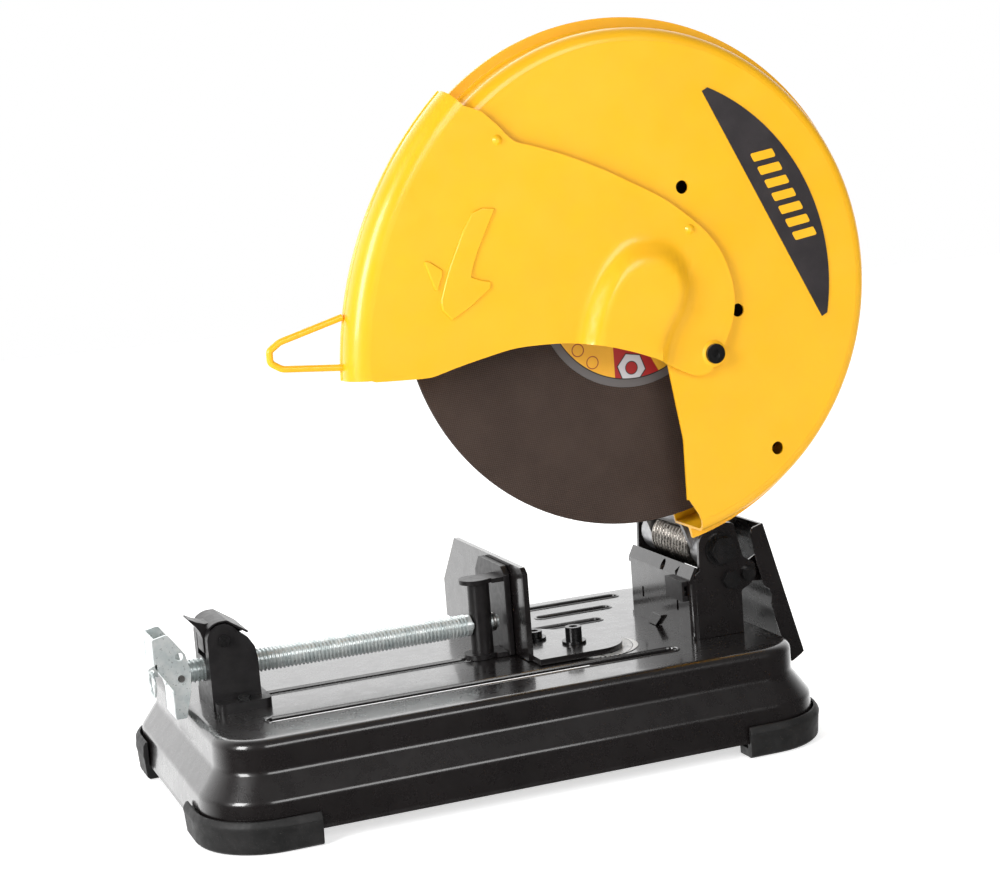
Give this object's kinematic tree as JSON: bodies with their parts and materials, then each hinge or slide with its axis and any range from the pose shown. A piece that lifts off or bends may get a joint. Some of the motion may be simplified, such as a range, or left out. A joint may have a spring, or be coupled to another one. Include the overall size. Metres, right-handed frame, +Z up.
{
  "type": "abrasive chop saw",
  "caption": "Bench cut-off saw: spring-lifted head with guarded abrasive wheel over a pressed steel base with a quick vise, swivel fence and spark deflector.",
  "frame": {"origin": "on the floor under the middle of the outline", "axes": "+X towards the rear pivot and spark deflector, +Y towards the motor end, +Z up"},
  "size_m": [0.5765, 0.3072, 0.5575],
  "materials": {
    "black_paint": "satin black paint",
    "black_cast": "satin black on cast iron",
    "dark_steel": "black oxide",
    "rubber": "moulded black rubber",
    "bolt_steel": "machined bolts, dull",
    "black_bolt": "black oxide bolts",
    "bronze": "machined bronze",
    "zinc": "bright zinc plate",
    "scale_plate": "printed plate",
    "spring_steel": "drawn wire",
    "cast_alloy": "die cast, matt",
    "yellow_plastic": "moulded",
    "black_plastic": "textured",
    "core_steel": "laminated steel",
    "carbon": "pressed carbon",
    "trigger_plastic": "moulded",
    "yellow_paint": "gloss powder coat",
    "badge_film": "plain dark film",
    "copper": "copper bars",
    "bearing_steel": "ground steel",
    "abrasive": "woven reinforced abrasive",
    "label_paper": "printed paper"
  },
  "bodies": {
    "base": {"base_pan": "black_paint", "corner_feet": "rubber", "vise_block": "black_cast", "vise_bolts": "black_bolt", "half_nut": "bronze", "lever_pin": "black_bolt", "fence_pivot_bolt": "black_bolt", "angle_scale": "scale_plate", "pivot_bracket": "black_paint", "bracket_brace": "black_paint", "bracket_bolts": "black_bolt", "pivot_shaft": "black_bolt", "pivot_nut": "black_bolt", "torsion_spring": "spring_steel", "wrench_clip": "dark_steel", "lockdown_chain": "zinc", "deflector_bolt": "black_bolt"},
    "release_lever": {"quick_release_lever": "dark_steel"},
    "jaw": {"jaw_carrier": "dark_steel", "jaw_plate": "dark_steel"},
    "screw": {"vise_screw": "zinc", "crank_arm": "zinc", "crank_pin": "bolt_steel", "jaw_pin": "bolt_steel"},
    "crank_ring": {"crank_ring": "zinc"},
    "fence": {"fence": "black_paint", "fence_bolt": "black_bolt"},
    "deflector": {"spark_deflector": "black_paint"},
    "head": {"head_arm": "cast_alloy", "gear_case": "cast_alloy", "gear_cover": "cast_alloy", "cover_screws": "bolt_steel", "motor_housing": "yellow_plastic", "motor_end_cap": "black_plastic", "stator": "core_steel", "carbon_brushes": "carbon", "brush_caps": "black_plastic", "handle_near": "black_plastic", "handle_far": "black_plastic", "handle_screws": "bolt_steel", "fixed_guard": "yellow_paint", "guard_bolts": "bolt_steel", "badge_panel": "badge_film", "motor_bearings": "bearing_steel", "spindle_bearings": "bearing_steel", "guard_pivot_screw": "black_bolt"},
    "trigger": {"trigger": "trigger_plastic"},
    "spindle_lock": {"spindle_lock": "black_plastic"},
    "rotor": {"armature": "core_steel", "commutator": "copper", "cooling_fan": "black_plastic"},
    "spindle": {"spindle": "bearing_steel", "spindle_gear": "bearing_steel", "wheel_flanges": "zinc", "cutting_wheel": "abrasive", "wheel_label": "label_paper", "arbor_bolt": "bolt_steel"},
    "swing_guard": {"moving_guard": "yellow_paint", "finger_loop": "yellow_paint"}
  },
  "joints": [
    {"name": "head_tilt", "type": "hinge", "parent": "base", "child": "head", "pos_m": [0.16, -0.018, 0.1456], "axis": [0, -1, 0], "range_deg": [0, 45], "stiffness_Nm_per_rad": 18, "springref_deg": -35.52},
    {"name": "guard_swing", "type": "hinge", "parent": "head", "child": "swing_guard", "pos_m": [0.143, -0.117, 0.305], "axis": [0, 1, 0], "range_deg": [0, 60.5]},
    {"name": "wheel_spin", "type": "hinge", "parent": "head", "child": "spindle", "pos_m": [0.089, -0.088, 0.357], "axis": [0, 1, 0], "continuous": true},
    {"name": "motor_spin", "type": "hinge", "parent": "head", "child": "rotor", "pos_m": [0.124, 0.032, 0.41762], "axis": [0, 1, 0], "continuous": true},
    {"name": "trigger_pull", "type": "slide", "parent": "head", "child": "trigger", "axis": [-0.9962, 0, 0.0872], "range_m": [0, 0.005], "stiffness_N_per_m": 600, "springref_m": -0.003},
    {"name": "spindle_lock_press", "type": "slide", "parent": "head", "child": "spindle_lock", "axis": [0.866, 0, -0.5], "range_m": [0, 0.0035], "stiffness_N_per_m": 500, "springref_m": -0.003},
    {"name": "vise_slide", "type": "slide", "parent": "base", "child": "jaw", "axis": [-1, 0, 0], "range_m": [0, 0.15]},
    {"name": "screw_spin", "type": "hinge", "parent": "jaw", "child": "screw", "pos_m": [-0.146, -0.0145, 0.103], "axis": [1, 0, 0], "continuous": true},
    {"name": "crank_ring_swing", "type": "hinge", "parent": "screw", "child": "crank_ring", "pos_m": [-0.2845, -0.031, 0.111], "axis": [0, 1, 0], "range_deg": [-15, 60]},
    {"name": "release_lever_lift", "type": "hinge", "parent": "base", "child": "release_lever", "pos_m": [-0.231, -0.0145, 0.128], "axis": [0, -1, 0], "range_deg": [0, 25]},
    {"name": "fence_swivel", "type": "hinge", "parent": "base", "child": "fence", "pos_m": [0.046, -0.038, 0.079], "axis": [0, 0, 1], "range_deg": [-25, 0]},
    {"name": "deflector_tilt", "type": "hinge", "parent": "base", "child": "deflector", "pos_m": [0.183, -0.011, 0.123], "axis": [0, -1, 0], "range_deg": [-3, 20]}
  ],
  "couplings": [
    {"joint": "guard_swing", "follows": "head_tilt", "ratio": 1.3333},
    {"joint": "motor_spin", "follows": "wheel_spin", "ratio": -4.8333}
  ]
}
